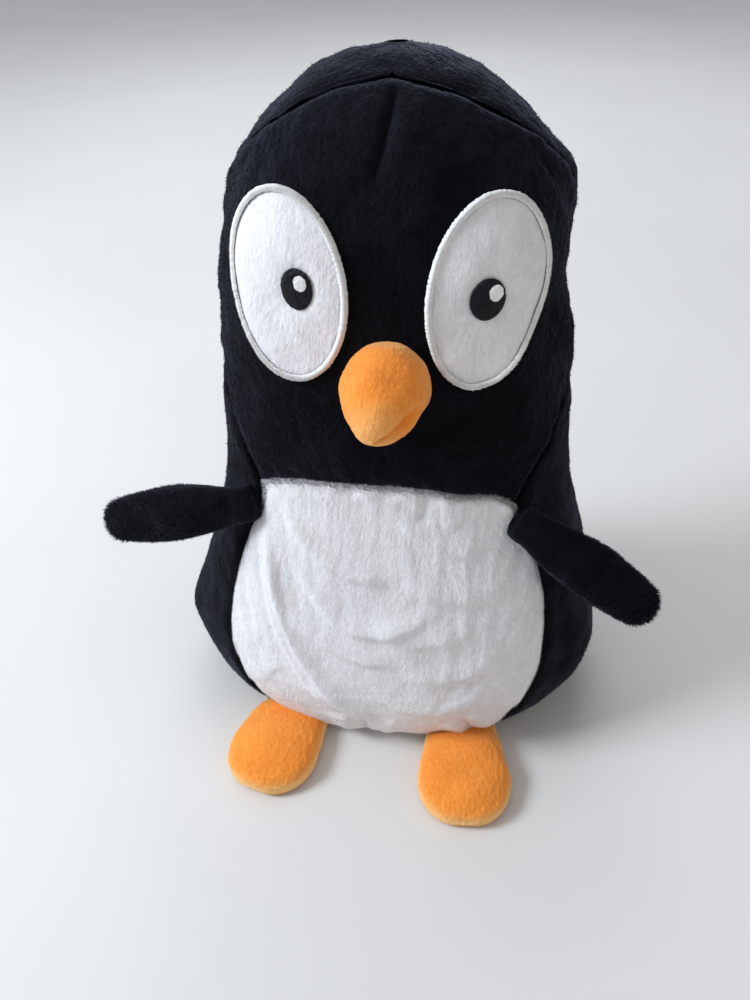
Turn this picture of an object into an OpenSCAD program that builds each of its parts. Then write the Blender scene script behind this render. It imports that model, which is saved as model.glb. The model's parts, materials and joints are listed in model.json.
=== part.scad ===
// Plush penguin: an upright stuffed toy sewn from short pile fabric.
// Millimetres, +Z up. It stands on its base at z = 0 and faces -Y, and the
// origin is the centre of the base. Left and right are the penguin's own, so
// left is +X. Every sewn panel is a thin shell over its own stuffing.

/* [Body] */
// Height from the base to the crown
body_h = 300; // [270:5:330]
// Width at the widest, low down
body_w = 208; // [190:2:220]
// Depth at the deepest, low down
body_d = 149; // [135:1:160]
// Thickness of the pile fabric
fabric_t = 2; // [1.6:0.1:2.4]
// Height where the white belly panel meets the black face panel
belly_top_z = 138; // [128:1:144]

/* [Eyes] */
// Width of an eye, outside its stitched border
eye_w = 49; // [42:1:50]
// Height of an eye, outside its stitched border
eye_h = 69; // [60:1:72]
// Distance from the middle of the face to the middle of an eye
eye_x = 37; // [33:1:38]
// Height of the middle of an eye
eye_z = 225; // [215:1:228]
// Width of the satin stitch border
border_w = 2.6; // [2:0.1:3.2]
// Distance from the middle of the face to the left pupil
left_pupil_x = 37.5; // [33:0.5:40]
// Distance from the middle of the face to the right pupil
right_pupil_x = 32; // [31:0.5:39]
// Height of the middle of a pupil
pupil_z = 226; // [218:1:230]
// Width of a pupil
pupil_w = 12; // [9:1:14]
// Height of a pupil
pupil_h = 15; // [12:1:20]

/* [Beak] */
// Width of the beak where it is sewn to the face
beak_w = 34; // [28:1:40]
// Length of the beak
beak_l = 32; // [26:1:36]
// Height of the middle of the beak's base
beak_z = 195; // [188:1:202]
// Distance that the beak sits to the toy's left of the middle
beak_x = 2; // [-3:0.5:3]
// Angle that the beak points below level
beak_droop = 26; // [15:1:32]

/* [Flippers] */
// Length of a flipper from its root fold to its tip
flipper_l = 72; // [60:1:84]
// Width of a flipper
flipper_w = 26; // [24:1:32]
// Thickness of a stuffed flipper
flipper_t = 14; // [10:1:16]
// Height of the flipper roots on the side seams
flipper_z = 129; // [124:1:136]
// Angle that the left flipper hangs below level
left_droop = 34; // [15:1:40]
// Angle that the right flipper hangs below level
right_droop = 15; // [5:1:40]

/* [Feet] */
// Length of a foot in front of its seam
foot_l = 46; // [40:1:56]
// Width of a foot at its toes
foot_w = 44; // [36:1:48]
// Thickness of a stuffed foot
foot_t = 12; // [9:1:13]
// Distance from the middle to the root of the left foot
left_foot_x = 41; // [38:1:46]
// Distance from the middle to the root of the right foot
right_foot_x = 46; // [38:1:47]
// Angle that the left foot turns outwards
left_splay = 4; // [0:1:12]
// Angle that the right foot turns outwards
right_splay = 15; // [0:1:18]

/* [Hidden] */

BLACK = [0.06, 0.065, 0.085];
WHITE = [0.93, 0.92, 0.92];
ORANGE = [0.95, 0.5, 0.2];
THREAD = [0.97, 0.97, 0.95];
FIBRE = [0.9, 0.9, 0.87];

// Body sections, from the base to the crown:
// [height share, half width share, front depth share, back depth share]
PROFILE = [
    [0.000, 0.81, 0.83, 0.78],
    [0.027, 0.91, 0.94, 0.89],
    [0.067, 0.97, 1.00, 0.95],
    [0.133, 1.00, 1.02, 0.98],
    [0.233, 0.95, 0.95, 0.93],
    [0.333, 0.86, 0.85, 0.83],
    [0.433, 0.78, 0.74, 0.74],
    [0.550, 0.74, 0.68, 0.68],
    [0.667, 0.72, 0.65, 0.66],
    [0.767, 0.68, 0.60, 0.63],
    [0.850, 0.62, 0.52, 0.57],
    [0.917, 0.49, 0.42, 0.45],
    [0.963, 0.33, 0.28, 0.30],
    [0.987, 0.19, 0.15, 0.16],
    [1.000, 0.01, 0.01, 0.01]
];
// The body leans back a little: [height share, set-back share of the height]
LEAN = [[0, 0], [0.2, 0], [0.5, 0.02], [0.767, 0.04], [1, 0.053]];
// Side seam: [height share, angle round the body from the middle of the front]
SEAM = [
    [0.000, 32], [0.027, 33], [0.100, 38], [0.167, 44], [0.267, 48],
    [0.367, 45], [0.453, 41], [0.550, 66], [0.667, 86], [0.767, 93],
    [0.850, 85], [0.913, 68], [0.950, 44], [0.960, 32], [0.973, 0]
];
// Power that squares the body sections off a little from true ellipses
SECTION_POWER = 0.87;
SEAM_TOP = 0.973;
CROWN_TOP = 0.998;
// How much higher the belly panel's top edge is in its middle than at its corners
BELLY_RISE = 8;
// Angle left open between two panels where their edges turn in to the seam
SEAM_ANGLE = 0.25;
// Clearance between a pad's cover and its stuffing, and the wider one in the body
STUFFING_GAP = 0.35;
BODY_GAP = 1.2;
// Clearance over the face panel's facets
OVERLAY_GAP = 0.4;
BELLY_ROWS = 12;
FACE_ROWS = 18;
FRONT_COLUMNS = 18;
BACK_ROWS = 26;
BACK_COLUMNS = 14;
STUFFING_COLUMNS = 40;

// A flipper: [length share, half width share, half thickness share]
LEAF = [
    [0.00, 0.62, 0.06], [0.06, 0.69, 0.34], [0.15, 0.81, 0.66], [0.30, 0.94, 0.92],
    [0.48, 1.00, 1.00], [0.66, 0.99, 0.96], [0.82, 0.92, 0.84], [0.93, 0.74, 0.62],
    [0.98, 0.47, 0.38], [1.00, 0.05, 0.05]
];
// How far each flipper points forward of straight sideways
LEFT_SWEEP = 7;
RIGHT_SWEEP = -2;
FLIPPER_NECK = 7;
// A flipper's neck: [distance from the seam, half width, half thickness]
NECK = [[2.2, 8.2, 1.0], [3.6, 8.5, 1.9], [5.2, 8.4, 1.5], [FLIPPER_NECK - 0.3, 8.1, 0.4]];
// A foot: [length share, half width share, thickness share]
PAW = [
    [0.00, 0.76, 0.26], [0.10, 0.80, 0.50], [0.25, 0.87, 0.82], [0.45, 0.96, 1.00],
    [0.65, 1.00, 1.00], [0.82, 0.86, 0.86], [0.93, 0.60, 0.62], [0.98, 0.36, 0.38],
    [1.00, 0.05, 0.10]
];
// The beak: [share of its length, radius share]
CONE = [
    [0.00, 0.93], [0.12, 1.00], [0.30, 1.01], [0.50, 0.94], [0.68, 0.81],
    [0.84, 0.60], [0.95, 0.35], [1.00, 0.02]
];
PAD_ROWS = 14;
PAD_COLUMNS = 14;
PAD_SKIN = 1.6;
// Height on the front where a foot's seam runs, and how far out of the body each foot is
FOOT_SEAM_Z = 8;
LEFT_FOOT_OUT = 3.5;
RIGHT_FOOT_OUT = -0.5;
SOLE_T = 1.6;
half_w = body_w / 2;
half_d = body_d / 2;
base_u = (fabric_t + 0.2) / body_h;

// ---- Smooth look-up in a table of [position, value, ...] rows ----

function slope(t, i, k) =
    let (a = max(i - 1, 0), b = min(i + 1, len(t) - 1))
    (t[b][k] - t[a][k]) / (t[b][0] - t[a][0]);

function between(t, i, u, k) =
    let (h = t[i + 1][0] - t[i][0], s = (u - t[i][0]) / h)
    (2 * s ^ 3 - 3 * s ^ 2 + 1) * t[i][k]
    + (s ^ 3 - 2 * s ^ 2 + s) * h * slope(t, i, k)
    + (3 * s ^ 2 - 2 * s ^ 3) * t[i + 1][k]
    + (s ^ 3 - s ^ 2) * h * slope(t, i + 1, k);

function look(t, u, k, i = 0) =
    (i == len(t) - 2 || u <= t[i + 1][0]) ? between(t, i, u, k) : look(t, u, k, i + 1);

function unit(v) = v / norm(v);

// ---- The body's surface ----

// A size share made smaller by an inset, but never below a third of itself
function inset_size(size, inset) = max(size - inset, size * 0.35);

// Point at height share u and angle a round the body from the middle of the front
function body_point(u, a, inset = 0) =
    let (
        w = inset_size(half_w * look(PROFILE, u, 1), inset),
        d = inset_size(half_d * look(PROFILE, u, cos(a) >= 0 ? 2 : 3), inset)
    )
    [
        w * sign(sin(a)) * abs(sin(a)) ^ SECTION_POWER,
        body_h * look(LEAN, u, 1) - d * sign(cos(a)) * abs(cos(a)) ^ SECTION_POWER,
        u * (body_h - inset)
    ];

function seam_angle(u) = u >= SEAM_TOP ? 0 : max(look(SEAM, u, 1), 0);

// Point of the front surface at a given x and z
function front_point(x, z) =
    let (
        u = z / body_h,
        q = min(abs(x) / (half_w * look(PROFILE, u, 1)), 0.999),
        s = q ^ (1 / SECTION_POWER)
    )
    [
        x,
        body_h * look(LEAN, u, 1)
            - half_d * look(PROFILE, u, 2) * sqrt(1 - s ^ 2) ^ SECTION_POWER,
        z
    ];

// Outward normal of the front surface there
function front_normal(x, z) =
    unit(cross(
        front_point(x + 0.5, z) - front_point(x - 0.5, z),
        front_point(x, z + 0.5) - front_point(x, z - 0.5)
    ));

function raised(x, z, lift) = front_point(x, z) + lift * front_normal(x, z);

// ---- Solids from grids of points ----

function flat_list(grid) = [for (row = grid) for (p = row) p];

// Two triangles of a grid cell whose corners are a, b, c and d
function cell(a, b, c, d) = [[a, b, c], [a, c, d]];

// Thin closed panel between an outer and an inner grid of the same size
module panel(outer, inner) {
    rows = len(outer);
    cols = len(outer[0]);
    half = rows * cols;
    function o(i, j) = i * cols + j;
    function n(i, j) = half + i * cols + j;
    faces = concat(
        [for (i = [0:rows - 2]) for (j = [0:cols - 2])
            each cell(o(i, j), o(i + 1, j), o(i + 1, j + 1), o(i, j + 1))],
        [for (i = [0:rows - 2]) for (j = [0:cols - 2])
            each cell(n(i, j), n(i, j + 1), n(i + 1, j + 1), n(i + 1, j))],
        [for (j = [0:cols - 2])
            each cell(o(0, j), o(0, j + 1), n(0, j + 1), n(0, j))],
        [for (j = [0:cols - 2])
            each cell(o(rows - 1, j + 1), o(rows - 1, j), n(rows - 1, j), n(rows - 1, j + 1))],
        [for (i = [0:rows - 2])
            each cell(o(i + 1, 0), o(i, 0), n(i, 0), n(i + 1, 0))],
        [for (i = [0:rows - 2])
            each cell(o(i, cols - 1), o(i + 1, cols - 1), n(i + 1, cols - 1), n(i, cols - 1))]
    );
    polyhedron(points = concat(flat_list(outer), flat_list(inner)), faces = faces);
}

function middle(ring) = [for (k = [0:2]) [for (p = ring) p[k]] * [for (p = ring) 1] / len(ring)];

// Closed solid through rings of points, with a fan over each end
module loft(rings) {
    rows = len(rings);
    cols = len(rings[0]);
    first = rows * cols;
    function o(i, j) = i * cols + j % cols;
    faces = concat(
        [for (i = [0:rows - 2]) for (j = [0:cols - 1])
            each cell(o(i, j), o(i + 1, j), o(i + 1, j + 1), o(i, j + 1))],
        [for (j = [0:cols - 1]) [first, o(0, j), o(0, j + 1)]],
        [for (j = [0:cols - 1]) [first + 1, o(rows - 1, j + 1), o(rows - 1, j)]]
    );
    polyhedron(
        points = concat(flat_list(rings), [middle(rings[0]), middle(rings[rows - 1])]),
        faces = faces
    );
}

// Closed sleeve: the rings run out along the outside and back along the inside
module sleeve(rings) {
    rows = len(rings);
    cols = len(rings[0]);
    function o(i, j) = (i % rows) * cols + j % cols;
    faces = [for (i = [0:rows - 1]) for (j = [0:cols - 1])
        each cell(o(i, j), o(i + 1, j), o(i + 1, j + 1), o(i, j + 1))];
    polyhedron(points = flat_list(rings), faces = faces);
}

// ---- Body panels ----

function belly_top_u(q) =
    (belly_top_z + BELLY_RISE * (1 - q ^ 2)) / body_h;

// Grid of the front between two height curves; q runs from -1 to 1 across it
function front_grid(rows, low, high, inset) = [
    for (i = [0:rows]) [
        for (j = [0:FRONT_COLUMNS])
            let (
                q = 2 * j / FRONT_COLUMNS - 1,
                a = low == 0 ? base_u : belly_top_u(q) + 0.0005,
                b = high == 1 ? SEAM_TOP - 0.002 : belly_top_u(q) - 0.0005,
                s = i / rows,
                u = a + (b - a) * (high == 1 ? 1 - (1 - s) ^ 1.4 : s),
                edge = seam_angle(u)
            )
            body_point(u, q * max(edge - SEAM_ANGLE, 0.5), inset)
    ]
];

module face_panel() {
    color(BLACK)
    panel(front_grid(FACE_ROWS, 1, 1, 0), front_grid(FACE_ROWS, 1, 1, fabric_t));
}

module belly_panel() {
    color(WHITE)
    panel(front_grid(BELLY_ROWS, 0, 0, 0), front_grid(BELLY_ROWS, 0, 0, fabric_t));
}

// Half of the back, from the side seam round to the centre-back seam
function back_grid(inset) = [
    for (i = [0:BACK_ROWS])
        let (u = base_u + (CROWN_TOP - base_u) * (1 - (1 - i / BACK_ROWS) ^ 1.5))
        [
            for (j = [0:BACK_COLUMNS])
                let (
                    a = seam_angle(u) + SEAM_ANGLE,
                    s = j / BACK_COLUMNS
                )
                body_point(u, a + (180 - SEAM_ANGLE - a) * s, inset)
        ]
];

module back_panel_left() {
    color(BLACK)
    panel(back_grid(0), back_grid(fabric_t));
}

module back_panel_right() {
    color(BLACK)
    mirror([1, 0, 0])
    panel(back_grid(0), back_grid(fabric_t));
}

module base_panel() {
    steps = 72;
    outline = [for (k = [0:steps - 1])
        let (p = body_point(0, k * 360 / steps))
        [p[0], p[1]]];
    color(BLACK)
    linear_extrude(height = fabric_t)
    polygon(outline);
}

module body_stuffing() {
    inset = fabric_t + BODY_GAP;
    top = 0.985;
    color(FIBRE)
    loft([
        for (i = [0:BACK_ROWS])
            let (u = base_u + 0.001 + (top - base_u) * (1 - (1 - i / BACK_ROWS) ^ 1.4))
            [for (j = [0:STUFFING_COLUMNS - 1]) body_point(u, j * 360 / STUFFING_COLUMNS, inset)]
    ]);
}

// Hand-sewn ladder stitches that close the stuffing opening in the back seam
module closing_stitches() {
    stitch_l = 4.5;
    stitch_r = 0.5;
    color(BLACK)
    for (z = [24:6:66]) {
        translate(body_point(z / body_h, 180) + [-stitch_l / 2, stitch_r + OVERLAY_GAP, 0])
        rotate([0, 90, 0])
        cylinder(h = stitch_l, r = stitch_r, $fn = 16);
    }
}

// ---- Eyes ----

// Point on the oval outline of half sizes rx and rz round [cx, cz]
function oval(cx, cz, rx, rz, a, lift) = raised(cx + rx * cos(a), cz + rz * sin(a), lift);

function oval_ring(cx, cz, rx, rz, lift, n) =
    [for (k = [0:n - 1]) oval(cx, cz, rx, rz, k * 360 / n, lift)];

// Oval appliqué that follows the face, from one lift above it to another
module oval_patch(cx, cz, rx, rz, low, high, n = 32) {
    loft([
        for (r = [0.1, 0.55, 1]) oval_ring(cx, cz, rx * r, rz * r, low, n),
        for (r = [0.98, 0.55, 0.1]) oval_ring(cx, cz, rx * r, rz * r, high, n)
    ]);
}

EYE_LOW = OVERLAY_GAP;
EYE_HIGH = EYE_LOW + 1.2;
PUPIL_HIGH = EYE_HIGH + 1.0;
HIGHLIGHT_HIGH = PUPIL_HIGH + 0.9;
LAYER_GAP = 0.15;

module eye_patch(side) {
    color(WHITE)
    oval_patch(side * eye_x, eye_z, eye_w / 2 - border_w, eye_h / 2 - border_w, EYE_LOW, EYE_HIGH);
}

module eye_border(side) {
    inner = border_w - 0.15;
    crest = EYE_HIGH + 0.7;
    color(THREAD)
    sleeve([
        for (p = [[inner, EYE_LOW], [0, EYE_LOW], [0, EYE_HIGH - 0.4],
                [border_w * 0.35, crest], [inner, EYE_HIGH]])
            oval_ring(side * eye_x, eye_z, eye_w / 2 - p[0], eye_h / 2 - p[0], p[1], 40)
    ]);
}

function pupil_x(side) = side > 0 ? left_pupil_x : -right_pupil_x;

module pupil(side) {
    color(BLACK)
    oval_patch(pupil_x(side), pupil_z, pupil_w / 2, pupil_h / 2, EYE_HIGH + LAYER_GAP, PUPIL_HIGH, 24);
}

// The light spots sit on the same side of both pupils
module highlight(side) {
    color(THREAD)
    oval_patch(
        pupil_x(side) + pupil_w * 0.16, pupil_z + pupil_h * 0.14, pupil_w * 0.2, pupil_h * 0.19,
        PUPIL_HIGH + LAYER_GAP, HIGHLIGHT_HIGH, 20
    );
}

module eye_patch_left() { eye_patch(1); }
module eye_border_left() { eye_border(1); }
module pupil_left() { pupil(1); }
module highlight_left() { highlight(1); }
module eye_patch_right() { eye_patch(-1); }
module eye_border_right() { eye_border(-1); }
module pupil_right() { pupil(-1); }
module highlight_right() { highlight(-1); }

// ---- Beak ----

BEAK_COLUMNS = 28;
beak_base = raised(beak_x, beak_z, OVERLAY_GAP);
beak_out = front_normal(beak_x, beak_z);
beak_dir = [0, -cos(beak_droop), -sin(beak_droop)];

// Its middle line starts square to the face and bends down to beak_droop
function beak_line(s, l) =
    beak_base + 2 * s * (1 - s) * 0.4 * l * beak_out + s ^ 2 * l * beak_dir;
function beak_tangent(s) =
    unit((1 - 2 * s) * 0.8 * beak_out + 2 * s * beak_dir);

function beak_ring(s, r, l) =
    let (t = beak_tangent(s), up = [0, t[2], -t[1]], c = beak_line(s, l))
    [for (k = [0:BEAK_COLUMNS - 1])
        let (a = k * 360 / BEAK_COLUMNS)
        s == 0
            ? raised(beak_x + r * cos(a), beak_z + r * sin(a), OVERLAY_GAP)
            : c + r * cos(a) * [1, 0, 0] + r * sin(a) * up];

function beak_rings(inset, l, order) = [
    for (i = order)
        beak_ring(CONE[i][0], max(beak_w / 2 * CONE[i][1] - inset, 0.2), l)
];

module beak_cover() {
    last = len(CONE) - 1;
    color(ORANGE)
    sleeve(concat(
        beak_rings(0, beak_l, [0:last]),
        beak_rings(fabric_t, beak_l - fabric_t, [last:-1:0])
    ));
}

module beak_stuffing() {
    inset = fabric_t + STUFFING_GAP;
    color(FIBRE)
    loft(beak_rings(inset, beak_l - inset - 0.3, [0:len(CONE) - 1]));
}

// ---- Stuffed pads: flippers ----

// Where a flipper is sewn in, on the side seam; side is 1 for left, -1 for right
flipper_u = flipper_z / body_h;
left_seam_point = body_point(flipper_u, seam_angle(flipper_u));
left_seam_normal = front_normal(left_seam_point[0], left_seam_point[2]);

function sided(v, side) = [v[0] * side, v[1], v[2]];
function seam_point(side) = sided(left_seam_point, side);
function seam_normal(side) = sided(left_seam_normal, side);
function droop(side) = side > 0 ? left_droop : right_droop;
function sweep(side) = side > 0 ? LEFT_SWEEP : RIGHT_SWEEP;

// The flipper's own directions: along it, across its width, and out of its front
function along(side) = [
    side * cos(droop(side)) * cos(sweep(side)),
    -cos(droop(side)) * sin(sweep(side)),
    -sin(droop(side))
];
function across(side) = unit(cross(seam_normal(side), along(side)));
function through(side) = unit(cross(along(side), across(side)));
function neck_dir(side) = unit(seam_normal(side) + along(side));
function fold_point(side) = seam_point(side) + FLIPPER_NECK * neck_dir(side);

function pad_ring(c, w, t, half_wide, half_thick, a0, a1, n, last) =
    [for (k = [0:last]) let (a = a0 + (a1 - a0) * k / n)
        c + half_wide * cos(a) * w + half_thick * sin(a) * t];

// Ring of a flipper at length share s, from angle a0 to a1 round its section
function flipper_ring(side, s, inset, a0, a1, n, last) =
    pad_ring(
        fold_point(side) + (0.4 + s * (flipper_l - 0.4)) * along(side),
        across(side), through(side),
        inset_size(flipper_w / 2 * look(LEAF, s, 1), inset),
        inset_size(flipper_t / 2 * look(LEAF, s, 2), inset),
        a0, a1, n, last
    );

// Rows are closer together near the root and the tip
function pad_share(i) = (1 - cos(180 * i / PAD_ROWS)) / 2;

function flipper_grid(side, inset, a0, a1) = [
    for (i = [0:PAD_ROWS])
        flipper_ring(side, pad_share(i), inset, a0, a1, PAD_COLUMNS, PAD_COLUMNS)
];

module flipper_panel(side, a0, a1) {
    edge = 1.5;
    color(BLACK)
    panel(
        flipper_grid(side, 0, a0 + edge, a1 - edge),
        flipper_grid(side, PAD_SKIN, a0 + edge, a1 - edge)
    );
}

module flipper_stuffing(side) {
    inset = PAD_SKIN + STUFFING_GAP;
    n = 2 * PAD_COLUMNS;
    color(FIBRE)
    loft([
        for (i = [0:PAD_ROWS])
            flipper_ring(side, 0.08 + 0.86 * pad_share(i), inset, 0, 360, n, n - 1)
    ]);
}

// Pinched neck of fabric between the body's seam and the fold
module flipper_root(side) {
    dir = neck_dir(side);
    w = across(side);
    t = unit(cross(dir, w));
    n = 20;
    color(BLACK)
    loft([
        for (p = NECK)
            pad_ring(seam_point(side) + p[0] * dir, w, t, p[1], p[2], 0, 360, n, n - 1)
    ]);
}

module flipper_root_left() { flipper_root(1); }
module flipper_front_left() { flipper_panel(1, 0, 180); }
module flipper_back_left() { flipper_panel(1, 180, 360); }
module flipper_stuffing_left() { flipper_stuffing(1); }
module flipper_root_right() { flipper_root(-1); }
module flipper_front_right() { flipper_panel(-1, 0, 180); }
module flipper_back_right() { flipper_panel(-1, 180, 360); }
module flipper_stuffing_right() { flipper_stuffing(-1); }

// ---- Stuffed pads: feet ----

function foot_x(side) = side > 0 ? left_foot_x : right_foot_x;
function foot_out(side) = side > 0 ? LEFT_FOOT_OUT : RIGHT_FOOT_OUT;
function foot_y(side) = front_point(foot_x(side), FOOT_SEAM_Z)[1] - foot_out(side);

// Feet are made pointing along +Y from their root, then turned to face forward
module placed_foot(side, splay) {
    translate([side * foot_x(side), foot_y(side), 0])
    rotate([0, 0, 180 + side * splay])
    children();
}

function foot_row(s, inset) = [
    s * foot_l,
    inset_size(foot_w / 2 * look(PAW, s, 1), inset),
    inset_size((foot_t - SOLE_T) * look(PAW, s, 2), inset)
];

function foot_ring(s, inset, floor_z, n) =
    let (r = foot_row(s, inset))
    [for (k = [0:n]) let (a = 180 * k / n)
        [-r[1] * cos(a), r[0], floor_z + r[2] * sin(a) ^ 0.7]];

module foot_sole(side, splay) {
    right_edge = [for (i = [0:PAD_ROWS]) let (r = foot_row(pad_share(i), 0)) [r[1], r[0]]];
    left_edge = [for (i = [PAD_ROWS:-1:0]) let (r = foot_row(pad_share(i), 0)) [-r[1], r[0]]];
    color(ORANGE)
    placed_foot(side, splay)
    linear_extrude(height = SOLE_T)
    polygon(concat(right_edge, left_edge));
}

module foot_top(side, splay) {
    low = SOLE_T + 0.1;
    color(ORANGE)
    placed_foot(side, splay)
    panel(
        [for (i = [0:PAD_ROWS]) foot_ring(pad_share(i), 0, low, PAD_COLUMNS)],
        [for (i = [0:PAD_ROWS]) foot_ring(pad_share(i), PAD_SKIN, low, PAD_COLUMNS)]
    );
}

module foot_stuffing(side, splay) {
    inset = PAD_SKIN + STUFFING_GAP;
    color(FIBRE)
    placed_foot(side, splay)
    loft([for (i = [0:PAD_ROWS])
        foot_ring(0.06 + 0.88 * pad_share(i), inset, SOLE_T + 0.2, PAD_COLUMNS)]);
}

module foot_sole_left() { foot_sole(1, left_splay); }
module foot_top_left() { foot_top(1, left_splay); }
module foot_stuffing_left() { foot_stuffing(1, left_splay); }
module foot_sole_right() { foot_sole(-1, right_splay); }
module foot_top_right() { foot_top(-1, right_splay); }
module foot_stuffing_right() { foot_stuffing(-1, right_splay); }

base_panel();
back_panel_left();
back_panel_right();
face_panel();
belly_panel();
body_stuffing();
closing_stitches();
eye_patch_left();
eye_border_left();
pupil_left();
highlight_left();
eye_patch_right();
eye_border_right();
pupil_right();
highlight_right();
beak_cover();
beak_stuffing();
flipper_root_left();
flipper_front_left();
flipper_back_left();
flipper_stuffing_left();
flipper_root_right();
flipper_front_right();
flipper_back_right();
flipper_stuffing_right();
foot_sole_left();
foot_top_left();
foot_stuffing_left();
foot_sole_right();
foot_top_right();
foot_stuffing_right();
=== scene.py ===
"""Looks of the plush penguin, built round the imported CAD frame.

Metres, +Z up. The toy faces -Y and its own left is +X. Sizes inside the shape
functions are in millimetres, and MM turns them into metres.
"""
import json
import math

import bpy
import numpy as np
from mathutils import Matrix, Vector
from mathutils.bvhtree import BVHTree


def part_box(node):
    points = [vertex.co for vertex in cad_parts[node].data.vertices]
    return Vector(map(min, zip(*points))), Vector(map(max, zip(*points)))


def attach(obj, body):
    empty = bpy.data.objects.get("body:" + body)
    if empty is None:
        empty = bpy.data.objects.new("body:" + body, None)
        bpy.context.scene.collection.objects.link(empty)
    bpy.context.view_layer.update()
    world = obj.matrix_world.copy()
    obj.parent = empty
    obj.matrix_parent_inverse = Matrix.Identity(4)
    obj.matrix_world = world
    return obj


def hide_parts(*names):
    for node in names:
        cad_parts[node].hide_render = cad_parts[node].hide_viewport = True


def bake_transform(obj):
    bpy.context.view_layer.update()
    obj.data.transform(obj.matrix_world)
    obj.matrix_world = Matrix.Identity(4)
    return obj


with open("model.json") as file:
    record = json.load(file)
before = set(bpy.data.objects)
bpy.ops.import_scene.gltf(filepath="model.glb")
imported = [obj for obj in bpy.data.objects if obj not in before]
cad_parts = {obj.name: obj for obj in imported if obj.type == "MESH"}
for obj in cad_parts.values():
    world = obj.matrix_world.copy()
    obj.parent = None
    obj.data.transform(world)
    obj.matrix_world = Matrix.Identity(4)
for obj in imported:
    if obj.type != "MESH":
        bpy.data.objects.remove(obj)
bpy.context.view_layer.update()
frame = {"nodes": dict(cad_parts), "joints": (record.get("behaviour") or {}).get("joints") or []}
MM = 0.001
JOINTS = {j["name"]: j for j in frame["joints"]}
SIDES = (("left", 1), ("right", -1))


# ---- Sizes, from the frame ----

def box_mm(node):
    low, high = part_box(node)
    return np.array(low) / MM, np.array(high) / MM


def node_points(node):
    """Corners of a CAD node's mesh, in millimetres."""
    return np.array([v.co for v in frame["nodes"][node].data.vertices]) / MM


CROWN_TOP = 0.998
SEAM_TOP = 0.973
SECTION_POWER = 0.87
BODY_H = box_mm("back_panel_left")[1][2] / CROWN_TOP
HALF_W = box_mm("back_panel_left")[1][0]
BELLY_DEPTH_SHARE = 1.02
HALF_D = -box_mm("belly_panel")[0][1] / BELLY_DEPTH_SHARE
BASE_U = 0.004
BELLY_RISE = 8
BELLY_TOP_Z = box_mm("belly_panel")[1][2] - BELLY_RISE

# Shares of the body's size, as in the CAD part:
# (height, half width, front depth, back depth)
PROFILE = [
    (0.000, 0.81, 0.83, 0.78), (0.027, 0.91, 0.94, 0.89), (0.067, 0.97, 1.00, 0.95),
    (0.133, 1.00, 1.02, 0.98), (0.233, 0.95, 0.95, 0.93), (0.333, 0.86, 0.85, 0.83),
    (0.433, 0.78, 0.74, 0.74), (0.550, 0.74, 0.68, 0.68), (0.667, 0.72, 0.65, 0.66),
    (0.767, 0.68, 0.60, 0.63), (0.850, 0.62, 0.52, 0.57), (0.917, 0.49, 0.42, 0.45),
    (0.963, 0.33, 0.28, 0.30), (0.987, 0.19, 0.15, 0.16), (1.000, 0.01, 0.01, 0.01),
]
# (height, set-back as a share of the height)
LEAN = [(0, 0), (0.2, 0), (0.5, 0.02), (0.767, 0.04), (1, 0.053)]
# (height, angle of the side seam from the middle of the front)
SEAM = [
    (0.000, 32), (0.027, 33), (0.100, 38), (0.167, 44), (0.267, 48),
    (0.367, 45), (0.453, 41), (0.550, 66), (0.667, 86), (0.767, 93),
    (0.850, 85), (0.913, 68), (0.950, 44), (0.960, 32), (0.973, 0),
]
# Flipper: (length, half width, half thickness)
LEAF = [
    (0.00, 0.62, 0.06), (0.06, 0.69, 0.34), (0.15, 0.81, 0.66), (0.30, 0.94, 0.92),
    (0.48, 1.00, 1.00), (0.66, 0.99, 0.96), (0.82, 0.92, 0.84), (0.93, 0.74, 0.62),
    (0.98, 0.47, 0.38), (1.00, 0.05, 0.05),
]
# Foot: (length, half width, height)
PAW = [
    (0.00, 0.76, 0.26), (0.10, 0.80, 0.50), (0.25, 0.87, 0.82), (0.45, 0.96, 1.00),
    (0.65, 1.00, 1.00), (0.82, 0.86, 0.86), (0.93, 0.60, 0.62), (0.98, 0.36, 0.38),
    (1.00, 0.05, 0.10),
]
# Beak: (length, radius)
CONE = [
    (0.00, 0.93), (0.12, 1.00), (0.30, 1.01), (0.50, 0.94), (0.68, 0.81),
    (0.84, 0.60), (0.95, 0.35), (1.00, 0.02),
]


def look(table, u, column):
    """Smooth value of a table's column at the positions u."""
    rows = np.array(table, float)
    x, y = rows[:, 0], rows[:, column]
    last = len(x) - 1
    before, after = np.maximum(np.arange(last + 1) - 1, 0), np.minimum(np.arange(last + 1) + 1, last)
    slopes = (y[after] - y[before]) / (x[after] - x[before])
    u = np.clip(np.asarray(u, float), x[0], x[-1])
    i = np.clip(np.searchsorted(x, u) - 1, 0, last - 1)
    h = x[i + 1] - x[i]
    s = (u - x[i]) / h
    return (
        (2 * s**3 - 3 * s**2 + 1) * y[i] + (s**3 - 2 * s**2 + s) * h * slopes[i]
        + (3 * s**2 - 2 * s**3) * y[i + 1] + (s**3 - s**2) * h * slopes[i + 1]
    )


def unit(v):
    v = np.asarray(v, float)
    return v / np.linalg.norm(v, axis=-1, keepdims=True)


def body_point(u, a):
    """Body surface at height share u and angle a in degrees from the front's middle."""
    u, a = np.broadcast_arrays(np.asarray(u, float), np.radians(np.asarray(a, float)))
    c, s = np.cos(a), np.sin(a)
    depth = np.where(c >= 0, look(PROFILE, u, 2), look(PROFILE, u, 3))
    return np.stack([
        HALF_W * look(PROFILE, u, 1) * np.sign(s) * np.abs(s) ** SECTION_POWER,
        BODY_H * look(LEAN, u, 1) - HALF_D * depth * np.sign(c) * np.abs(c) ** SECTION_POWER,
        u * BODY_H,
    ], -1)


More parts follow.
